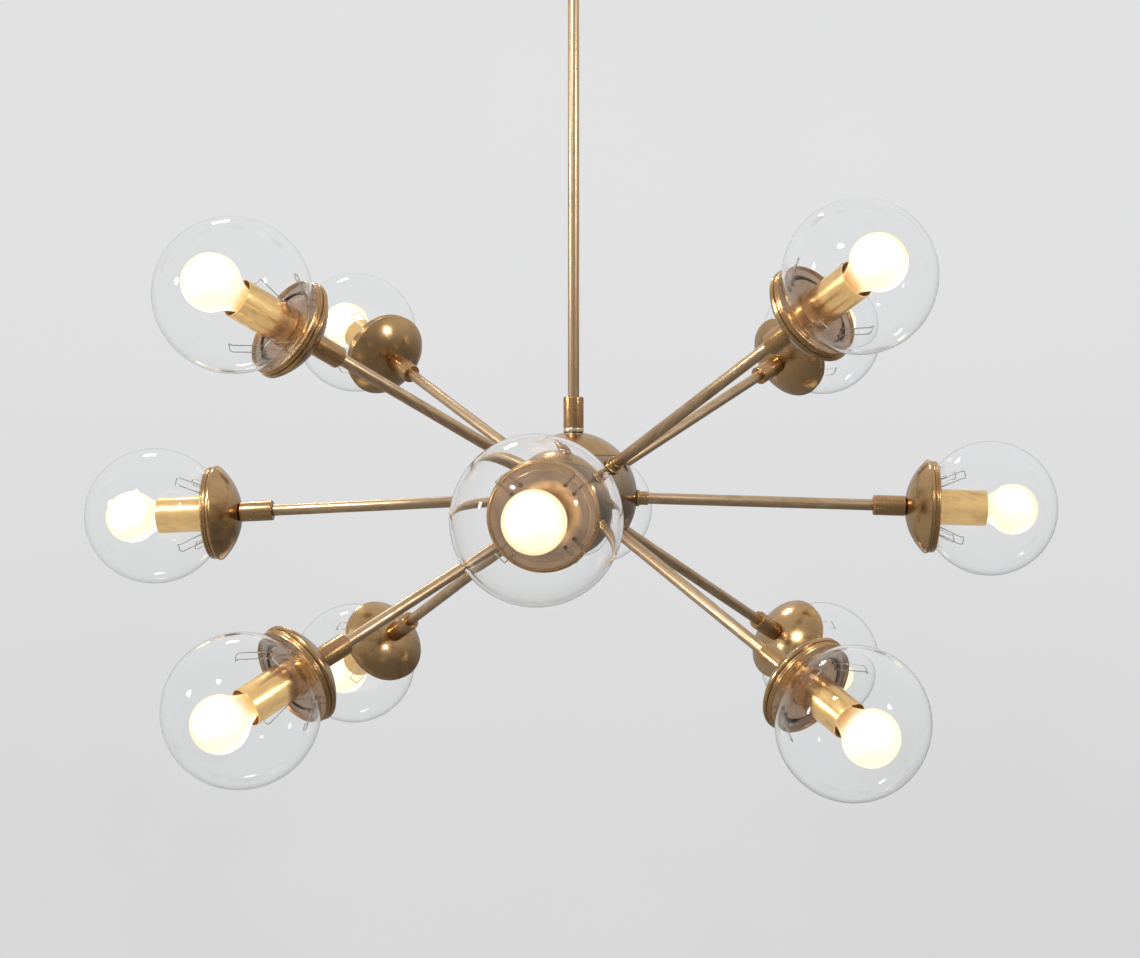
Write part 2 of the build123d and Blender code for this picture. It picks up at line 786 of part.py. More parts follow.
write("head_nipples", *on_arms(ring(tube_radius, nipple_bore_radius, nipple_start, nipple_end)))
write("globe_galleries", *on_arms(gallery()))
write("globe_springs", *[wire for spring in globe_springs() for wire in on_arms(spring)])
write("socket_cups", *on_arms(socket_cup()))
write("lampholders", *on_arms(lampholder()))
write("screw_shells", *on_arms(screw_shell()))

glass_globe = globe()
envelope = bulb_envelope()
cap = bulb_cap()
for name in ARMS:
    frame = arm_location(name)
    write(f"globe_{name}", frame * glass_globe)
    write(f"bulb_{name}", frame * envelope, frame * cap)

print("hub centre below the ceiling:", round(-hub_z, 2))
print("globe centre from the hub's centre:", round(globe_centre, 2))
print("bulb centre from the hub's centre:", round(bulb_centre, 2))
print("globe travel off its springs:", round(globe_travel, 2))
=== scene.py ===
"""Looks of a sputnik chandelier: turned brass, blown glass, lit bulbs, and the stage it is shown on.

Lengths in the outlines are millimetres. An outline is drawn as (radius, height) points and spun about its
axis: an arm's pieces along the arm from the hub's centre, a hub's piece from that centre upwards, and a
ceiling piece from the ceiling.
"""

import json
import math

import bmesh
import bpy
from bpy.props import FloatProperty, FloatVectorProperty, IntProperty, PointerProperty
from bpy.types import Operator, Panel, PropertyGroup
from mathutils import Matrix, Vector


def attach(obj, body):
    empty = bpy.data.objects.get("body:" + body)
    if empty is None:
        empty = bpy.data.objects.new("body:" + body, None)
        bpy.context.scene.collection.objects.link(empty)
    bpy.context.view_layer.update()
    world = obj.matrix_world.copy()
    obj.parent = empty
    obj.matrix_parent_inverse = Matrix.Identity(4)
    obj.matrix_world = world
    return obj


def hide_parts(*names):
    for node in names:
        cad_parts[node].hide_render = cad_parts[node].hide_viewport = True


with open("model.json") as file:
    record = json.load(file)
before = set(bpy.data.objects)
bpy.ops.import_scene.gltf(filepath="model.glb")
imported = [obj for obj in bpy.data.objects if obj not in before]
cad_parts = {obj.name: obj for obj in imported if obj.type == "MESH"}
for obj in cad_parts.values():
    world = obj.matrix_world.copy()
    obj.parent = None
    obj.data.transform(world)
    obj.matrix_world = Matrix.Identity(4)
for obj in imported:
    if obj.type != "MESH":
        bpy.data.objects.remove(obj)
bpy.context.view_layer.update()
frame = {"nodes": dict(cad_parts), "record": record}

bl_info = {
    "name": "Sputnik chandelier",
    "version": (1, 0, 0),
    "blender": (4, 5, 0),
    "location": "View3D > Sidebar > Chandelier",
    "description": "Builds the visible pieces, finishes and stage of a twelve-arm chandelier",
    "category": "Add Mesh",
}

MM = 0.001
HUB_CENTRE = Vector((0, 0, -0.5588))
CAMERA_FROM_HUB = Vector((0.1129, -1.6522, 0.0059))
TIER_RISE = {"level": -2.2, "upper": 26.0, "lower": -27.0}
# arm: tier, heading, lean of the heading, lean of the rise, in degrees
ARMS = {
    "right": ("level", 0.0, 1.0, 0.5),
    "back": ("level", 90.0, 0.0, 0.0),
    "left": ("level", 180.0, 0.5, -0.5),
    "front": ("level", 270.0, 0.0, -0.2),
    "upper_back_right": ("upper", 45.0, 0.0, 0.0),
    "upper_back_left": ("upper", 135.0, 0.3, 0.4),
    "upper_front_left": ("upper", 225.0, -1.2, -1.5),
    "upper_front_right": ("upper", 315.0, 0.2, 1.0),
    "lower_back_right": ("lower", 45.0, 0.0, 0.0),
    "lower_back_left": ("lower", 135.0, 0.9, -0.2),
    "lower_front_left": ("lower", 225.0, -0.3, 1.0),
    "lower_front_right": ("lower", 315.0, -0.8, -0.7),
}
PHOTO_WIDTH = 1140
FOCAL_PIXELS = 1858
PHOTO_CENTRE_SHIFT = (-130.5, 10.4)  # in pixels of the photo
SHARP_EDGE_ANGLE = math.radians(34)
CORNER_SEGMENTS = 3
# faces round the smaller turned pieces and the room
TUBE_STEPS = 48
CUP_STEPS = 56
BULB_STEPS = 56
CAP_STEPS = 40
BUSHING_STEPS = 14
ROOM_STEPS = 96

# sizes in millimetres; a centre, an edge and a base are measured along the arm from the hub's centre
DOME_CENTRE = 352.199
DOME_RADIUS = 56.699
DOME_WALL = 1.2
GLOBE_EDGE = 320.7
GLOBE_CENTRE = 371.454
BULB_CENTRE = 391.83
BULB_NECK_BASE = 357.83
BULB_CORE_RADIUS = 16.5
CUP_WALL = 0.8
TUBE_RADIUS = 5.0
TUBE_BORE = 3.8
# the radius of a hole that slides over a tube or a threaded nipple
SLIDING_BORE = 5.05
# the spring wires' holes in a gallery plate: distance from the axis, half of their spacing, and turns
SPRING_REACH = 27.43
SPRING_HALF_SPACING = 4.5
SPRING_TURNS = (45, 135, 225, 315)

# the round studio with a coved floor and a domed top, in millimetres
ROOM_RADIUS = 5000
ROOM_FLOOR = -2900
ROOM_COVE = 800
ROOM_WALL_TOP = 2500

# colour of the green cast and smears on old brass
GREEN_CAST = (0.22, 0.165, 0.075)


# ---------------------------------------------------------------- settings
class ChandelierSizes(PropertyGroup):
    """Sizes of the turned and blown pieces."""

    globe_radius: FloatProperty(
        name="Globe radius", description="Outer radius of a glass globe", default=0.060, unit="LENGTH"
    )
    globe_wall: FloatProperty(
        name="Glass thickness", description="Wall of a glass globe", default=0.0018, unit="LENGTH"
    )
    bulb_radius: FloatProperty(
        name="Bulb radius", description="Radius of a bulb's ball", default=0.0225, unit="LENGTH"
    )
    cup_radius: FloatProperty(
        name="Cup radius", description="Outer radius of a socket cup", default=0.0159, unit="LENGTH"
    )
    turning_steps: IntProperty(
        name="Turning steps", description="Faces round a turned piece", default=80, min=16, max=128
    )


class ChandelierFinishes(PropertyGroup):
    """Colours of the finishes."""

    brass: FloatVectorProperty(
        name="Brass", description="Bare brass of the spun pieces", subtype="COLOR", size=3,
        default=(0.58, 0.375, 0.18),
    )
    copper: FloatVectorProperty(
        name="Couplers", description="Redder brass of the couplers and rings", subtype="COLOR", size=3,
        default=(0.47, 0.28, 0.13),
    )
    patina: FloatVectorProperty(
        name="Patina", description="Dark tarnish on the spun pieces", subtype="COLOR", size=3,
        default=(0.21, 0.115, 0.048),
    )
    glow: FloatVectorProperty(
        name="Glow", description="Light of the bulbs", subtype="COLOR", size=3, default=(1.0, 0.84, 0.50)
    )
    glow_strength: FloatProperty(
        name="Glow strength", description="Brightness of a bulb's inside", default=1.0, min=0.0
    )


class ChandelierStage(PropertyGroup):
    """Lights and backdrop."""

    backdrop: FloatVectorProperty(
        name="Backdrop", description="Colour of the wall behind", subtype="COLOR", size=3,
        default=(0.765, 0.765, 0.772),
    )
    key_power: FloatProperty(
        name="Key light", description="Power of the main lamp", default=60.0, unit="POWER"
    )
    fill_power: FloatProperty(
        name="Fill light", description="Power of the other lamps", default=22.0, unit="POWER"
    )


# ---------------------------------------------------------------- places
def arm_place(name):
    """Matrix that lays an upright piece along an arm."""
    tier, heading, lean_turn, lean_rise = ARMS[name]
    turn = math.radians(heading + lean_turn)
    rise = math.radians(TIER_RISE[tier] + lean_rise)
    outwards = Vector((math.cos(rise) * math.cos(turn), math.cos(rise) * math.sin(turn), math.sin(rise)))
    side = Vector((-math.sin(turn), math.cos(turn), 0))
    axes = Matrix((side, outwards.cross(side), outwards)).transposed().to_4x4()
    return Matrix.Translation(HUB_CENTRE) @ axes


def arm_places(tier=None):
    return [arm_place(name) for name in ARMS if tier in (None, ARMS[name][0])]


HUB_PLACE = Matrix.Translation(HUB_CENTRE)
CEILING_PLACE = Matrix.Identity(4)


# ---------------------------------------------------------------- modelling
class Outline:
    """Outline of a turned piece, drawn from point to point and then spun about its axis."""

    def __init__(self, radius, height):
        self.mesh = bmesh.new()
        self.start = self.tip = self.mesh.verts.new((radius * MM, 0, height * MM))
        self.corners = []

    def to(self, radius, height, rounding=0.0):
        point = self.mesh.verts.new((radius * MM, 0, height * MM))
        self.mesh.edges.new((self.tip, point))
        self.tip = point
        if rounding:
            self.corners.append((point, rounding))
        return self

    def arc(self, centre_radius, centre_height, degrees, steps):
        """Swings the last point round a centre; positive angles go from the axis outwards and down."""
        swung = bmesh.ops.spin(
            self.mesh, geom=[self.tip], cent=(centre_radius * MM, 0, centre_height * MM), axis=(0, 1, 0),
            angle=math.radians(degrees), steps=steps, use_merge=False, use_duplicate=False,
        )
        self.tip = swung["geom_last"][0]
        return self

    def close(self):
        self.mesh.edges.new((self.tip, self.start))
        return self

    def turn(self, steps):
        """Spins the outline into an upright piece, as a mesh that remembers its unplaced coordinates."""
        for corner, rounding in self.corners:
            bmesh.ops.bevel(
                self.mesh, geom=[corner], offset=rounding * MM, offset_type="OFFSET",
                segments=CORNER_SEGMENTS, profile=0.5, affect="VERTICES", material=-1, clamp_overlap=False,
            )
        bmesh.ops.spin(
            self.mesh, geom=self.mesh.verts[:] + self.mesh.edges[:], cent=(0, 0, 0), axis=(0, 0, 1),
            angle=2 * math.pi, steps=steps, use_merge=True, use_duplicate=False,
        )
        bmesh.ops.remove_doubles(self.mesh, verts=self.mesh.verts, dist=1e-7)
        loose = [edge for edge in self.mesh.edges if not edge.link_faces]
        bmesh.ops.delete(self.mesh, geom=loose, context="EDGES")
        bmesh.ops.recalc_face_normals(self.mesh, faces=self.mesh.faces[:])
        local = self.mesh.verts.layers.float_vector.new("local")
        for vert in self.mesh.verts:
            vert[local] = vert.co
        unit = bpy.data.meshes.new("unit")
        self.mesh.to_mesh(unit)
        self.mesh.free()
        return unit


def sleeve(outer, inner, low, high, rounding):
    """Outline of a plain turned sleeve with softened outer corners."""
    return Outline(inner, low).to(outer, low, rounding).to(outer, high, rounding).to(inner, high).close()


def put(name, unit, places, finish, body=None, nodes=()):
    """One object of an upright mesh laid at each place; it moves with a body and stands for CAD nodes."""
    whole = bmesh.new()
    for place in places:
        known = len(whole.verts)
        whole.from_mesh(unit)
        whole.verts.ensure_lookup_table()
        bmesh.ops.transform(whole, matrix=place, verts=whole.verts[known:])
    mesh = bpy.data.meshes.new(name)
    whole.to_mesh(mesh)
    whole.free()
    mesh.polygons.foreach_set("use_smooth", [True] * len(mesh.polygons))
    mesh.set_sharp_from_angle(angle=SHARP_EDGE_ANGLE)
    mesh.materials.append(finish)
    piece = bpy.data.objects.new(name, mesh)
    bpy.context.scene.collection.objects.link(piece)
    if body is None:
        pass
    else:
        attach(piece, body)
        if nodes:
            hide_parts(*nodes)
    return piece


# ---------------------------------------------------------------- finishes
class Value:
    """An output socket, on which arithmetic adds Math nodes."""

    def __init__(self, paint, socket):
        self.paint = paint
        self.socket = socket

    def _math(self, operation, first, second):
        return self.paint.add("ShaderNodeMath", {"operation": operation}, {0: first, 1: second})

    def __add__(self, other):
        return self._math("ADD", self, other)

    __radd__ = __add__

    def __mul__(self, other):
        return self._math("MULTIPLY", self, other)

    __rmul__ = __mul__

    def __sub__(self, other):
        return self._math("SUBTRACT", self, other)

    def __rsub__(self, other):
        return self._math("SUBTRACT", other, self)

    def clamp(self):
        return self.paint.add("ShaderNodeClamp", {}, {0: self})

    def band(self, low, high, start=0.0, end=1.0):
        """Maps low..high smoothly to start..end."""
        return self.paint.add(
            "ShaderNodeMapRange", {"interpolation_type": "SMOOTHSTEP"},
            {0: self, 1: low, 2: high, 3: start, 4: end},
        )


class Paint:
    """A material under construction."""

    def __init__(self, name):
        self.material = bpy.data.materials.new(name)
        self.material.use_nodes = True
        self.tree = self.material.node_tree
        self.tree.nodes.clear()
        self.output = self.tree.nodes.new("ShaderNodeOutputMaterial")

    def add(self, kind, settings, inputs, output=0):
        """Adds a node of a kind, with its settings and the values or links of its sockets."""
        node = self.tree.nodes.new(kind)
        for key, setting in settings.items():
            setattr(node, key, setting)
        for key, given in inputs.items():
            if isinstance(given, Value):
                self.tree.links.new(given.socket, node.inputs[key])
            else:
                node.inputs[key].default_value = given
        return Value(self, node.outputs[output])

    def local(self):
        """Coordinates of a turned piece while it still stood upright, before it was laid in place."""
        settings = {"attribute_name": "local", "attribute_type": "GEOMETRY"}
        return self.add("ShaderNodeAttribute", settings, {}, "Vector")

    def place(self):
        return self.add("ShaderNodeTexCoord", {}, {}, "Object")

    def stretch(self, vector, factors):
        return self.add("ShaderNodeMapping", {}, {"Vector": vector, "Scale": factors})

    def blend_places(self, first, second, share):
        """Adds a share of one vector to another."""
        moved = self.add("ShaderNodeVectorMath", {"operation": "SCALE"}, {0: second, "Scale": share})
        return self.add("ShaderNodeVectorMath", {"operation": "ADD"}, {0: first, 1: moved})

    def noise(self, vector, scale, detail, rough, distort=0.0):
        return self.add(
            "ShaderNodeTexNoise", {},
            {"Vector": vector, "Scale": scale, "Detail": detail, "Roughness": rough, "Distortion": distort},
        )

    def mix(self, mask, first, second, mode="MIX"):
        """Colour between two colours; the mask is 0 at the first."""
        first = first if isinstance(first, Value) else (*first, 1)
        second = second if isinstance(second, Value) else (*second, 1)
        return self.add(
            "ShaderNodeMix", {"data_type": "RGBA", "blend_type": mode}, {0: mask, 6: first, 7: second}, 2
        )

    def bump(self, height, strength, distance):
        inputs = {"Height": height, "Strength": strength, "Distance": distance}
        return self.add("ShaderNodeBump", {}, inputs, "Normal")

    def surface(self, inputs):
        return self.add("ShaderNodeBsdfPrincipled", {}, inputs)

    def show(self, shader):
        self.tree.links.new(shader.socket, self.output.inputs["Surface"])
        return self.material

    def show_glass(self, glass, tint):
        """Shows a glass that the lamps shine straight through with a faint tint, so its shadow stays pale."""
        open_air = self.add("ShaderNodeBsdfTransparent", {}, {"Color": (*tint, 1)})
        shadow = self.add("ShaderNodeLightPath", {}, {}, "Is Shadow Ray")
        return self.show(self.add("ShaderNodeMixShader", {}, {0: shadow, 1: glass, 2: open_air}))


def brass_finish(
    name, bare, stain, roughness, stained, streaks=0.0, rings=0.0, turned=True, pits=0.15, green=GREEN_CAST
):
    """Aged brass: bare metal, brown stain in clouds, green smears, drawn streaks or spun rings, and pits."""
    paint = Paint(name)
    place = paint.place()
    local = paint.local() if turned else place
    mixed = paint.blend_places(local, place, 0.35)
    clouds = paint.noise(mixed, 26.0, 5.0, 0.55, 0.5)
    smears = paint.noise(paint.stretch(mixed, (1.0, 1.0, 0.3)), 70.0, 5.0, 0.6, 0.4)
    mottle = paint.noise(mixed, 240.0, 4.0, 0.6)
    long_grain = paint.noise(paint.stretch(local, (1.0, 1.0, 0.012)), 1500.0, 3.0, 0.7)
    long_bands = paint.noise(paint.stretch(mixed, (1.0, 1.0, 0.03)), 260.0, 4.0, 0.6)
    dust = paint.noise(mixed, 1100.0, 2.0, 0.5)

    stain_mask = (clouds * 0.62 + smears * 0.38).band(0.58 - 0.22 * stained, 0.80 - 0.22 * stained)
    if streaks:
        stain_mask = (stain_mask * (1.0 - streaks) + long_bands.band(0.38, 0.64) * streaks).clamp()
    colour = paint.mix(stain_mask * 0.8, bare, stain)
    colour = paint.mix(smears.band(0.52, 0.75, 0.0, 0.4), colour, green)
    colour = paint.mix(mottle.band(0.35, 0.75, 0.0, 0.22), colour, (0.88, 0.83, 0.76), "MULTIPLY")
    colour = paint.mix(long_grain.band(0.3, 0.75, 0.0, 0.45 * max(streaks, 0.1)), colour, stain)
    pit_mask = dust.band(0.67, 0.74, 0.0, pits)
    colour = paint.mix(pit_mask, colour, (0.07, 0.045, 0.03))

    rough = roughness + stain_mask * 0.10 + mottle.band(0.3, 0.7, -0.03, 0.04) + pit_mask * 0.2
    height = mottle * (0.25 - 0.33 * streaks) + dust * 0.06 + long_grain * (0.25 * streaks)
    if rings:
        spun = paint.add(
            "ShaderNodeTexWave", {"wave_type": "RINGS", "rings_direction": "Z"},
            {"Vector": local, "Scale": 520.0, "Distortion": 0.6, "Detail": 2.0, "Detail Scale": 3.0},
        )
        height = height + spun * rings
    normal = paint.bump(height, 0.12, 0.0002)
    return paint.show(
        paint.surface({"Base Color": colour, "Metallic": 1.0, "Roughness": rough.clamp(), "Normal": normal})
    )


def steel_finish(name, tone, roughness):
    """Zinc-plated or drawn steel with a faint spangle and rub marks."""
    paint = Paint(name)
    place = paint.place()
    spangle = paint.noise(place, 420.0, 3.0, 0.6)
    rubs = paint.noise(paint.stretch(place, (1.0, 1.0, 0.2)), 160.0, 5.0, 0.65)
    colour = paint.mix(spangle.band(0.35, 0.7), tone, tuple(0.72 * channel for channel in tone))
    colour = paint.mix(rubs.band(0.55, 0.75, 0.0, 0.4), colour, (0.33, 0.30, 0.26))
    rough = roughness + rubs.band(0.3, 0.8, -0.06, 0.12)
    return paint.show(
        paint.surface({
            "Base Color": colour, "Metallic": 1.0, "Roughness": rough.clamp(),
            "Normal": paint.bump(spangle, 0.12, 0.0001),
        })
    )


def moulded_finish(name, tone, roughness, grain):
    """Moulded or extruded plastic, fibre or wound tape: fine grain and slightly uneven colour."""
    paint = Paint(name)
    place = paint.place()
    cloud = paint.noise(place, 60.0, 4.0, 0.6)
    fine = paint.noise(place, grain, 3.0, 0.6)
    colour = paint.mix(cloud.band(0.3, 0.7), tone, tuple(min(1.0, 1.35 * channel + 0.01) for channel in tone))
    rough = roughness + fine.band(0.3, 0.7, -0.06, 0.08)
    return paint.show(
        paint.surface({
            "Base Color": colour, "Roughness": rough.clamp(), "Specular IOR Level": 0.45,
            "Normal": paint.bump(fine, 0.3, 0.0002),
        })
    )


def clear_glass():
    """Clear blown glass with faint waves from the blowing."""
    paint = Paint("clear_glass")
    place = paint.place()
    waves = paint.noise(place, 16.0, 2.0, 0.4)
    glass = paint.surface({
        "Base Color": (0.985, 0.992, 0.99, 1), "Roughness": 0.0, "IOR": 1.24, "Transmission Weight": 1.0,
        "Normal": paint.bump(waves, 0.05, 0.002),
    })
    return paint.show_glass(glass, (0.97, 0.98, 0.98))


def frosted_glass(glow):
    """Frosted envelope of a lit bulb: a milky shell that glows warm and lets its core shine through."""
    paint = Paint("frosted_glass")
    frost = paint.noise(paint.local(), 900.0, 2.0, 0.5)
    shell = paint.surface({
        "Base Color": (1.0, 0.91, 0.70, 1), "Roughness": frost.band(0.3, 0.7, 0.46, 0.54), "IOR": 1.3,
        "Transmission Weight": 1.0, "Emission Color": (*glow, 1), "Emission Strength": 0.12,
    })
    return paint.show_glass(shell, (1, 1, 1))


def bulb_core(glow, strength):
    """The bright inside of a lit bulb, in slightly uneven warm tones."""
    paint = Paint("bulb_core")
    flicker = paint.noise(paint.local(), 60.0, 2.0, 0.5)
    colour = paint.mix(flicker.band(0.2, 0.8), glow, (1.0, 0.88, 0.60))
    return paint.show(
        paint.surface({
            "Base Color": (0.5, 0.46, 0.40, 1), "Roughness": 0.6, "Emission Color": colour,
            "Emission Strength": strength,
        })
    )


FINISH = {}


def mix_tones(first, second, share):
    return tuple(a + (b - a) * share for a, b in zip(first, second))


# ---------------------------------------------------------------- operators
class CHANDELIER_OT_finishes(Operator):
    """Make the finishes and give the carried-over CAD pieces theirs"""

    bl_idname = "chandelier.finishes"
    bl_label = "Finishes"

    def execute(self, context):
        tones = context.scene.chandelier_finishes
        brass, copper, patina = tuple(tones.brass), tuple(tones.copper), tuple(tones.patina)
        # name, bare metal, stain, roughness, and how it was worked and has aged
        for name, bare, stain, roughness, worked in (
            (
                "drawn_brass", (0.58, 0.43, 0.28), mix_tones(patina, brass, 0.45), 0.33,
                {"stained": 0.4, "streaks": 0.6},
            ),
            (
                "copper_brass", copper, mix_tones(patina, copper, 0.4), 0.23,
                {"stained": 0.25, "streaks": 0.25},
            ),
            (
                "patina_brass", mix_tones(brass, patina, 0.3), patina, 0.20,
                {"stained": 0.4, "rings": 0.1},
            ),
            (
                "aged_brass", mix_tones(brass, patina, 0.40), mix_tones(patina, brass, 0.15), 0.27,
                {"stained": 0.3, "turned": False, "pits": 0.1},
            ),
            (
                "aged_turned", mix_tones(brass, patina, 0.25), patina, 0.25,
                {"stained": 0.45, "rings": 0.2},
            ),
            (
                "polished_brass", (0.33, 0.245, 0.17), mix_tones(patina, brass, 0.15), 0.15,
                {"stained": 0.35, "turned": False},
            ),
            (
                "pale_brass", (0.72, 0.60, 0.42), brass, 0.3,
                {"stained": 0.1, "pits": 0.1},
            ),
            # cup_brass is painted lighter and more golden than the other brass: painted light, the glow of
            # the bulbs on the cups, on top of the real light from the bulb cores
            (
                "cup_brass", (0.92, 0.60, 0.25), mix_tones(patina, brass, 0.8), 0.2,
                {"stained": 0.1, "streaks": 0.3},
            ),
            (
                "plate_brass", (0.42, 0.28, 0.185), (0.21, 0.135, 0.09), 0.14,
                {"stained": 0.5, "rings": 0.06, "green": (0.28, 0.21, 0.17)},
            ),
        ):
            FINISH[name] = brass_finish(name, bare, stain, roughness, **worked)
        for name, tone, roughness in (
            ("zinc_steel", (0.60, 0.61, 0.62), 0.32),
            ("spring_steel", (0.50, 0.49, 0.47), 0.22),
            ("nickel", (0.70, 0.66, 0.58), 0.22),
        ):
            FINISH[name] = steel_finish(name, tone, roughness)
        for name, tone, roughness, grain in (
            ("white_nylon", (0.62, 0.60, 0.55), 0.45, 700.0),
            ("holder_plastic", (0.035, 0.028, 0.024), 0.30, 700.0),
            ("wire_insulation", (0.06, 0.04, 0.03), 0.42, 700.0),
            ("cloth_tape", (0.03, 0.028, 0.026), 0.75, 1500.0),
            ("fibre", (0.035, 0.022, 0.016), 0.55, 700.0),
            # this dark brown also paints the shade of the spring holes, as rings on the gallery plates
            ("bushing", (0.075, 0.032, 0.014), 0.35, 700.0),
        ):
            FINISH[name] = moulded_finish(name, tone, roughness, grain)
        FINISH["clear_glass"] = clear_glass()
        FINISH["frosted_glass"] = frosted_glass(tuple(tones.glow))
        FINISH["bulb_core"] = bulb_core(tuple(tones.glow), tones.glow_strength)
        slots = {part["node"]: part["material_slot"] for part in frame["record"]["subparts"]}
        for node, piece in frame["nodes"].items():
            piece.data.materials.clear()
            piece.data.materials.append(FINISH[slots[node]])
        return {"FINISHED"}


class CHANDELIER_OT_arms(Operator):
    """Turn the arm tubes, their couplers and the ferrules at their roots"""

    bl_idname = "chandelier.arms"
    bl_label = "Arms"

    def execute(self, context):
        tube = sleeve(TUBE_RADIUS, TUBE_BORE, 47.0, 279.0, 0.2).turn(TUBE_STEPS)
        for tier in TIER_RISE:
            put(
                f"arm_tube_set_{tier}", tube, arm_places(tier), FINISH["drawn_brass"],
                "pendant", [f"arm_tubes_{tier}"],
            )
        coupler = (
            Outline(SLIDING_BORE, 267.0).to(8.5, 267.0, 0.25).to(9.0, 267.6, 0.25).to(9.0, 294.9, 0.25)
            .to(8.5, 295.5, 0.2).to(SLIDING_BORE, 295.5).close().turn(TUBE_STEPS)
        )
        put(
            "arm_coupler_set", coupler, arm_places(), FINISH["copper_brass"], "pendant",
            ["arm_couplers"],
        )
        ferrule = (
            Outline(SLIDING_BORE, 56.5).to(7.4, 56.5, 0.3).to(7.4, 58.7, 0.7).to(6.1, 58.9, 0.15)
            .to(6.1, 62.2, 0.1).to(5.8, 62.5, 0.1).to(6.1, 62.8, 0.1).to(6.1, 66.3, 0.5)
            .to(SLIDING_BORE, 66.3).close().turn(TUBE_STEPS)
        )
        put(
            "arm_ferrule_set", ferrule, arm_places(), FINISH["aged_turned"], "pendant",
            ["arm_ferrules"],
        )
        return {"FINISHED"}


class CHANDELIER_OT_domes(Operator):
    """Spin the domes, and the galleries that close them and seat the glass"""

    bl_idname = "chandelier.domes"
    bl_label = "Domes and galleries"

    def execute(self, context):
        steps = context.scene.chandelier_sizes.turning_steps
        outer, inner = DOME_RADIUS, DOME_RADIUS - DOME_WALL
        rim_outer, rim_inner = 41.7, 39.8

        def angle(sphere, ring):
            return math.degrees(math.asin(ring / sphere))

        def height(sphere, ring):
            return DOME_CENTRE - math.sqrt(sphere**2 - ring**2)

        dome = Outline(SLIDING_BORE, height(outer, SLIDING_BORE))
        dome.arc(0, DOME_CENTRE, angle(outer, SLIDING_BORE) - angle(outer, rim_outer), 34)
        dome.to(41.9, 314.2, 0.3).to(41.9, 315.3, 0.3).to(41.4, 316.2, 0.4).to(41.0, 316.8, 0.15)
        dome.to(rim_inner, 316.8).to(rim_inner, height(inner, rim_inner))
        dome.arc(0, DOME_CENTRE, angle(inner, rim_inner) - angle(inner, SLIDING_BORE), 20)
        unit = dome.close().turn(steps)
        for tier in TIER_RISE:
            put(
                f"dome_set_{tier}", unit, arm_places(tier), FINISH["patina_brass"],
                "pendant", [f"domes_{tier}"],
            )
        ring = (
            Outline(38.15, 314.8).to(39.75, 314.8).to(39.75, 316.8, 0.1).to(40.1, 316.8, 0.1)
            .to(40.1, 317.4, 0.15).to(40.9, 317.9, 0.4).to(40.9, 319.2, 0.5).to(40.3, 319.7, 0.15)
            .to(40.3, 320.0, 0.15).to(40.9, 320.5, 0.3).to(40.6, 321.6, 0.5).to(39.6, 322.5, 0.3)
            .to(38.9, 322.45, 0.2).to(38.5, 320.4, 0.2).to(38.15, 320.4).close().turn(steps)
        )
        plate = (
            Outline(16.2, 319.2).to(38.15, 319.2).to(38.15, 320.4).to(33.9, 320.4, 0.2).to(33.6, 320.2, 0.2)
            .to(33.3, 320.4, 0.2).to(18.4, 320.4, 0.3).to(17.9, 320.15, 0.3).to(16.2, 320.15, 0.1).close()
            .turn(steps)
        )
        put(
            "gallery_ring_set", ring, arm_places(), FINISH["copper_brass"], "pendant",
            ["globe_galleries"],
        )
        put("gallery_plate_set", plate, arm_places(), FINISH["plate_brass"], "pendant")
        # small dark-brown rings round each spring wire's hole; the plate has no holes, so their dark is
        # painted shade of the holes
        bushing = (
            Outline(0.5, 320.42).to(1.75, 320.42).to(1.75, 320.75, 0.12).to(1.25, 320.95, 0.12)
            .to(0.8, 320.95, 0.1).to(0.5, 320.7).close().turn(BUSHING_STEPS)
        )
        spots = []
        for place in arm_places():
            for spring_turn in SPRING_TURNS:
                for side in (-SPRING_HALF_SPACING, SPRING_HALF_SPACING):
                    beside = Matrix.Translation(Vector((SPRING_REACH, side, 0)) * MM)
                    spots.append(place @ Matrix.Rotation(math.radians(spring_turn), 4, "Z") @ beside)
        put("spring_hole_shade_rings", bushing, spots, FINISH["bushing"], "pendant")
        return {"FINISHED"}


class CHANDELIER_OT_cups(Operator):
    """Turn the socket cups"""

    bl_idname = "chandelier.cups"
    bl_label = "Socket cups"

    def execute(self, context):
        outer = context.scene.chandelier_sizes.cup_radius / MM
        inner = outer - CUP_WALL
        cup = (
            Outline(SLIDING_BORE, 299.15).to(outer, 299.15, 0.6).to(outer, 366.9, 0.2)
            .to(outer - 0.2, 367.5, 0.15).to(inner, 367.45, 0.15).to(inner, 299.95, 0.3)
            .to(SLIDING_BORE, 299.95).close().turn(CUP_STEPS)
        )
        put(
            "socket_cup_set", cup, arm_places(), FINISH["cup_brass"],
            "pendant", ["socket_cups"],
        )
        return {"FINISHED"}


class CHANDELIER_OT_globes(Operator):
    """Blow the clear globes"""

    bl_idname = "chandelier.globes"
    bl_label = "Glass globes"

    def execute(self, context):
        sizes = context.scene.chandelier_sizes
        outer, wall = sizes.globe_radius / MM, sizes.globe_wall / MM
        depth = GLOBE_CENTRE - GLOBE_EDGE
        inner = outer - wall
        outer_angle = 180 - math.degrees(math.acos(depth / outer))
        inner_angle = 180 - math.degrees(math.acos(depth / inner))
        rim_inner = math.sqrt(inner**2 - depth**2)
        rim_outer = math.sqrt(outer**2 - depth**2)
        globe = Outline(0, GLOBE_CENTRE + outer)
        globe.arc(0, GLOBE_CENTRE, outer_angle, 60)
        globe.to((rim_inner + rim_outer) / 2, GLOBE_EDGE)
        globe.to(rim_inner, GLOBE_EDGE + 0.05)
        globe.arc(0, GLOBE_CENTRE, -inner_angle + 0.1, 56)
        unit = globe.turn(sizes.turning_steps)
        for name in ARMS:
            put(
                f"glass_{name}", unit, [arm_place(name)], FINISH["clear_glass"],
                f"globe_{name}", [f"globe_{name}"],
            )
        return {"FINISHED"}


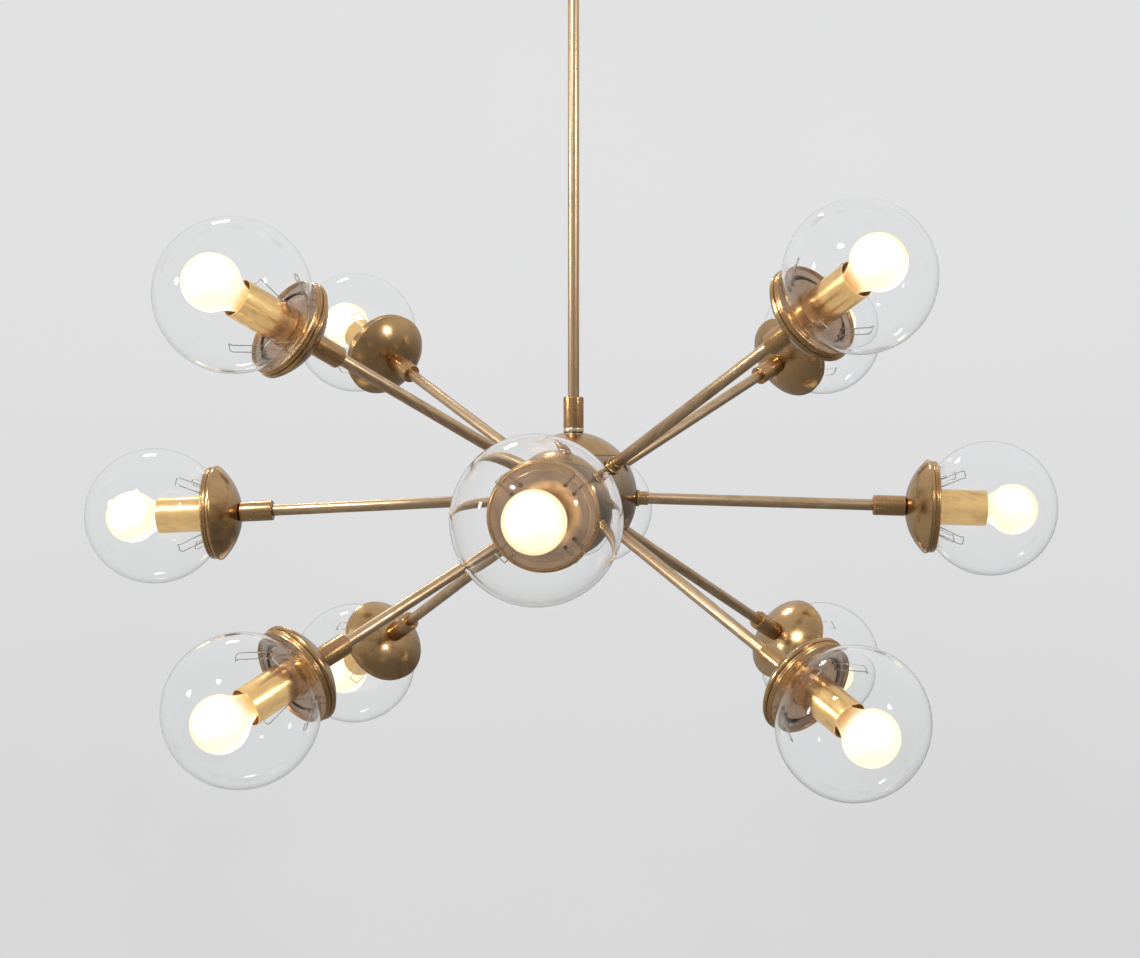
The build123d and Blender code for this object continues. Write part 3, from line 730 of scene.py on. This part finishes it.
class CHANDELIER_OT_bulbs(Operator):
    """Make the lit bulbs: frosted envelope, bright core and screw cap"""

    bl_idname = "chandelier.bulbs"
    bl_label = "Bulbs"

    def execute(self, context):
        radius = context.scene.chandelier_sizes.bulb_radius / MM
        envelope = Outline(0, BULB_CENTRE + radius)
        envelope.arc(0, BULB_CENTRE, 122.0, 34)
        envelope.to(16.6, 377.2).to(14.3, 373.4).to(12.2, 369.4).to(10.6, 365.2)
        envelope.to(9.7, 361.2).to(9.5, BULB_NECK_BASE)
        shell = envelope.turn(BULB_STEPS)
        heart = Outline(0, BULB_CENTRE + BULB_CORE_RADIUS).arc(0, BULB_CENTRE, 180.0, 20).turn(CAP_STEPS)
        screw = Outline(0, 337.3).to(2.4, 337.3, 0.5).to(2.8, 338.2).to(6.4, 340.8)
        for crest in (341.7, 344.5, 347.3, 350.1):
            screw.to(6.9, crest, 0.4).to(6.9, crest + 1.0, 0.4).to(6.4, crest + 1.9, 0.4)
        screw.to(6.9, 352.9, 0.4).to(6.9, 353.9, 0.4).to(6.4, 354.8)
        cap = screw.to(8.2, 356.3, 0.4).to(8.2, 357.8, 0.2).to(0, 357.8).turn(CAP_STEPS)
        for name in ARMS:
            place = [arm_place(name)]
            body = f"bulb_{name}"
            put(f"bulb_shell_{name}", shell, place, FINISH["frosted_glass"], body, [body])
            put(f"bulb_core_{name}", heart, place, FINISH["bulb_core"], body)
            put(f"bulb_cap_{name}", cap, place, FINISH["nickel"], body)
        return {"FINISHED"}


class CHANDELIER_OT_hub(Operator):
    """Turn the stem, its coupler and the neck collar under it"""

    bl_idname = "chandelier.hub"
    bl_label = "Hub and stem"

    def execute(self, context):
        steps = context.scene.chandelier_sizes.turning_steps
        coupler = (
            Outline(SLIDING_BORE, 60.5).to(8.6, 60.5, 0.2).to(9.0, 61.0, 0.25).to(9.0, 87.5, 0.25)
            .to(8.6, 88.0, 0.2).to(SLIDING_BORE, 88.0).close().turn(steps)
        )
        neck = sleeve(9.0, SLIDING_BORE, 56.9, 60.5, 0.4).turn(steps)
        stem = sleeve(TUBE_RADIUS, TUBE_BORE, -482.8, -78.8, 0.2).turn(steps)
        for node, unit, place, slot in (
            ("stem_coupler", coupler, HUB_PLACE, "copper_brass"),
            ("hub_neck", neck, HUB_PLACE, "pale_brass"),
            ("stem", stem, CEILING_PLACE, "drawn_brass"),
        ):
            put(f"{node}_piece", unit, [place], FINISH[slot], "pendant", [node])
        return {"FINISHED"}


class CHANDELIER_OT_stage(Operator):
    """Set the floor and backdrop, the lamps and the camera"""

    bl_idname = "chandelier.stage"
    bl_label = "Stage"

    def execute(self, context):
        stage = context.scene.chandelier_stage
        self.build_room(tuple(stage.backdrop))
        self.light_room()
        for name, place, size, power in (
            ("key", (-1.3, -2.2, 1.5), (0.42, 0.30), stage.key_power),
            ("left_lamp", (-2.4, -0.9, 0.1), (0.24, 0.34), stage.fill_power),
            ("right_lamp", (2.2, -1.6, 0.4), (0.24, 0.34), stage.fill_power),
            ("rear_lamp", (-1.2, 2.0, 2.2), (0.60, 0.30), stage.fill_power),
        ):
            self.lamp(name, place, size, power)
        self.set_camera()
        return {"FINISHED"}

    def build_room(self, wall):
        """A closed pale room, which brass mirrors darker below and in front and paler on the left."""

        def shade(share):
            return tuple(share * channel for channel in wall)

        paint = Paint("backdrop")
        place = paint.place()
        side, depth, height = (paint.add("ShaderNodeSeparateXYZ", {}, {0: place}, axis) for axis in "XYZ")
        clouds = paint.noise(place, 0.7, 3.0, 0.5)
        tone = paint.mix(height.band(-2.3, 0.6), shade(0.88), wall)
        tone = paint.mix(clouds.band(0.35, 0.65, 0.0, 0.35), tone, shade(0.97))
        seen = paint.add("ShaderNodeEmission", {}, {"Color": tone, "Strength": 1.0})
        mirrored = paint.mix(height.band(-2.0, 2.5), shade(0.28), shade(1.15))
        mirrored = paint.mix((1 - depth.band(-4.5, 1.0)) * 0.55, mirrored, shade(0.36))
        mirrored = paint.mix((1 - side.band(-4.5, 1.5)) * 0.6, mirrored, wall)
        reflected = paint.add("ShaderNodeEmission", {}, {"Color": mirrored, "Strength": 1.0})
        lit = paint.add("ShaderNodeBsdfDiffuse", {}, {"Color": (*wall, 1)})
        floor_share = (1 - height.band(-2.88, -2.3)) * 0.4
        seen = paint.add("ShaderNodeMixShader", {}, {0: floor_share, 1: seen, 2: lit})
        camera = paint.add("ShaderNodeLightPath", {}, {}, "Is Camera Ray")
        through = paint.add("ShaderNodeLightPath", {}, {}, "Is Transmission Ray")
        direct = (camera + through).clamp()
        shader = paint.add("ShaderNodeMixShader", {}, {0: direct, 1: reflected, 2: seen})

        flat = ROOM_RADIUS - ROOM_COVE
        room = Outline(0, ROOM_FLOOR).to(flat, ROOM_FLOOR).arc(flat, ROOM_FLOOR + ROOM_COVE, -90, 14)
        unit = room.to(ROOM_RADIUS, ROOM_WALL_TOP).arc(0, ROOM_WALL_TOP, -90, 24).turn(ROOM_STEPS)
        unit.flip_normals()
        backdrop = put("backdrop", unit, [CEILING_PLACE], paint.show(shader))
        backdrop.visible_diffuse = False
        backdrop.visible_shadow = False

    def light_room(self):
        world = bpy.data.worlds.new("studio")
        bpy.context.scene.world = world
        world.use_nodes = True
        background = world.node_tree.nodes["Background"]
        background.inputs["Color"].default_value = (0.80, 0.80, 0.82, 1)
        background.inputs["Strength"].default_value = 0.7

    def set_camera(self):
        lens = bpy.data.cameras.new("camera")
        lens.sensor_fit = "HORIZONTAL"
        lens.sensor_width = 36.0
        lens.lens = FOCAL_PIXELS / PHOTO_WIDTH * lens.sensor_width
        lens.shift_x = PHOTO_CENTRE_SHIFT[0] / PHOTO_WIDTH
        lens.shift_y = PHOTO_CENTRE_SHIFT[1] / PHOTO_WIDTH
        lens.clip_start = 0.05
        lens.clip_end = 40.0
        camera = bpy.data.objects.new("camera", lens)
        camera.location = HUB_CENTRE + CAMERA_FROM_HUB
        camera.rotation_euler = (math.radians(90), 0, 0)
        bpy.context.scene.collection.objects.link(camera)
        bpy.context.scene.camera = camera
        bpy.context.scene.view_settings.view_transform = "Standard"

    def lamp(self, name, place, size, power):
        light = bpy.data.lights.new(name, "AREA")
        light.shape = "ELLIPSE"
        light.size, light.size_y = size
        light.energy = power
        lamp_object = bpy.data.objects.new(name, light)
        lamp_object.location = place
        aim = HUB_CENTRE - Vector(place)
        lamp_object.rotation_euler = aim.to_track_quat("-Z", "Y").to_euler()
        bpy.context.scene.collection.objects.link(lamp_object)


# ---------------------------------------------------------------- panel and registration
class CHANDELIER_PT_panel(Panel):
    """Buttons for the pieces and the stage"""

    bl_label = "Chandelier"
    bl_idname = "CHANDELIER_PT_panel"
    bl_space_type = "VIEW_3D"
    bl_region_type = "UI"
    bl_category = "Chandelier"

    def draw(self, context):
        column = self.layout.column()
        for operator in OPERATORS:
            column.operator(operator.bl_idname)


OPERATORS = (
    CHANDELIER_OT_finishes,
    CHANDELIER_OT_arms,
    CHANDELIER_OT_domes,
    CHANDELIER_OT_cups,
    CHANDELIER_OT_globes,
    CHANDELIER_OT_bulbs,
    CHANDELIER_OT_hub,
    CHANDELIER_OT_stage,
)
GROUPS = (ChandelierSizes, ChandelierFinishes, ChandelierStage)


def register():
    for kind in GROUPS + OPERATORS + (CHANDELIER_PT_panel,):
        bpy.utils.register_class(kind)
    bpy.types.Scene.chandelier_sizes = PointerProperty(type=ChandelierSizes)
    bpy.types.Scene.chandelier_finishes = PointerProperty(type=ChandelierFinishes)
    bpy.types.Scene.chandelier_stage = PointerProperty(type=ChandelierStage)


def unregister():
    del bpy.types.Scene.chandelier_stage
    del bpy.types.Scene.chandelier_finishes
    del bpy.types.Scene.chandelier_sizes
    for kind in reversed(GROUPS + OPERATORS + (CHANDELIER_PT_panel,)):
        bpy.utils.unregister_class(kind)


def main():
    register()
    bpy.ops.chandelier.finishes()
    bpy.ops.chandelier.arms()
    bpy.ops.chandelier.domes()
    bpy.ops.chandelier.cups()
    bpy.ops.chandelier.globes()
    bpy.ops.chandelier.bulbs()
    bpy.ops.chandelier.hub()
    bpy.ops.chandelier.stage()


if __name__ == "__main__":
    main()
